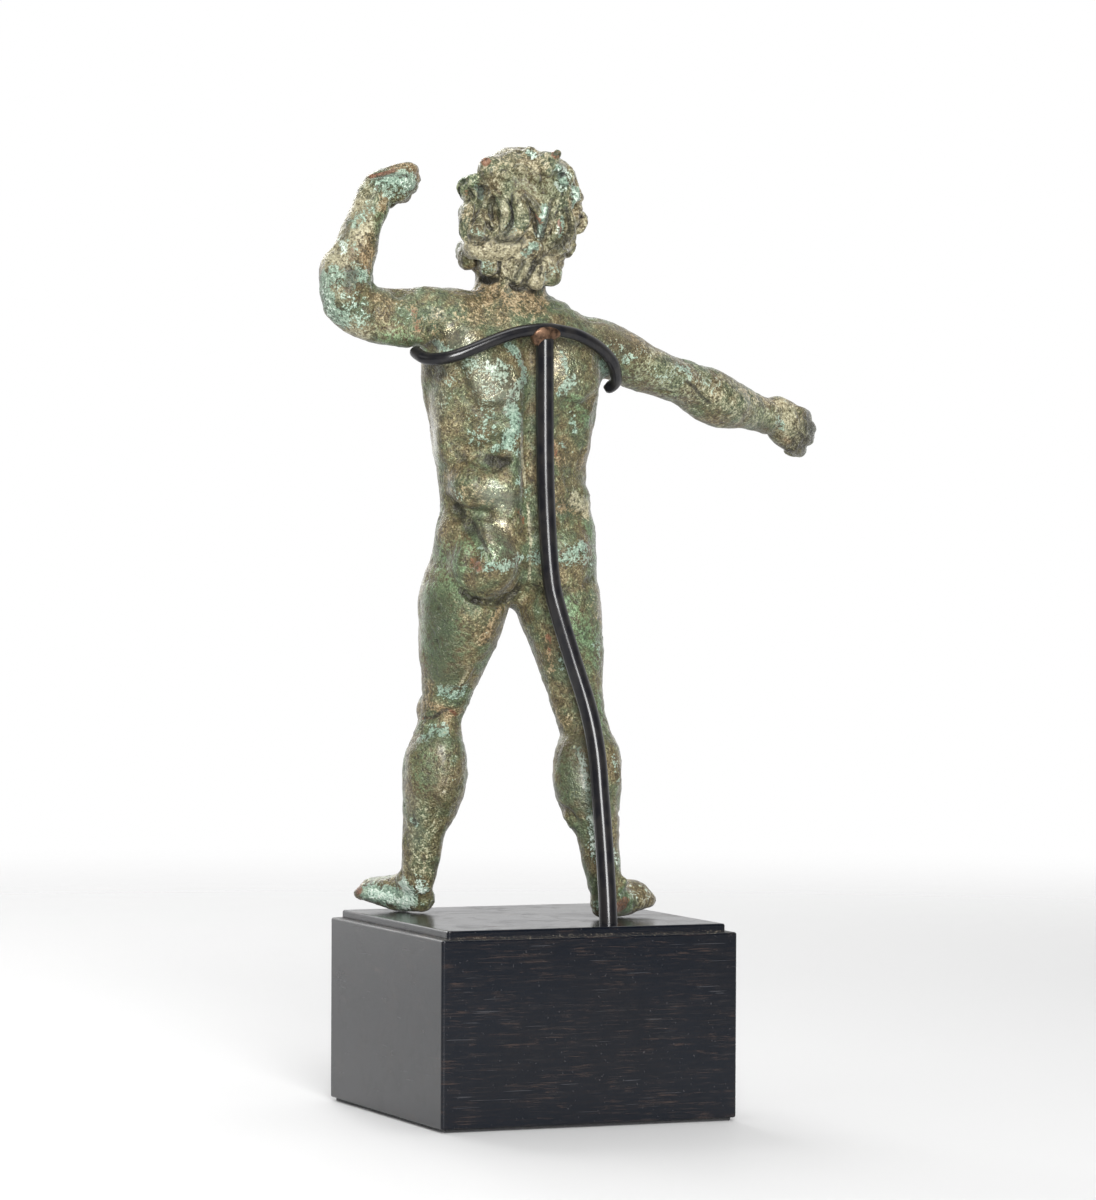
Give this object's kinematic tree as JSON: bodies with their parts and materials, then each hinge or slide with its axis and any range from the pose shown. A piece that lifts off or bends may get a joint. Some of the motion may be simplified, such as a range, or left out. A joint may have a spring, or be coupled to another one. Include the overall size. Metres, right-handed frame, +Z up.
{
  "type": "bronze faun statuette",
  "caption": "Small solid-cast bronze faun with one arm raised, held by a bent rod and cradle wire on a stepped dark wood block; a standing display ornament.",
  "frame": {"origin": "middle of the underside of the felt pad, where the block stands", "axes": "+Z up through the figure, -Y the way the figure faces, +X towards the figure's left, raised arm"},
  "size_m": [0.1044, 0.058, 0.1722],
  "materials": {
    "patinated_bronze": "rough green and brown patina on solid cast bronze",
    "blackened_brass": "chemically blackened, satin",
    "black_wood": "polished black wood with fine brown streaks",
    "black_felt": "thin black felt"
  },
  "bodies": {
    "root": {"bronze_faun": "patinated_bronze", "support_rod": "blackened_brass", "cradle_wire": "blackened_brass", "display_block": "black_wood", "felt_pad": "black_felt"}
  },
  "joints": []
}
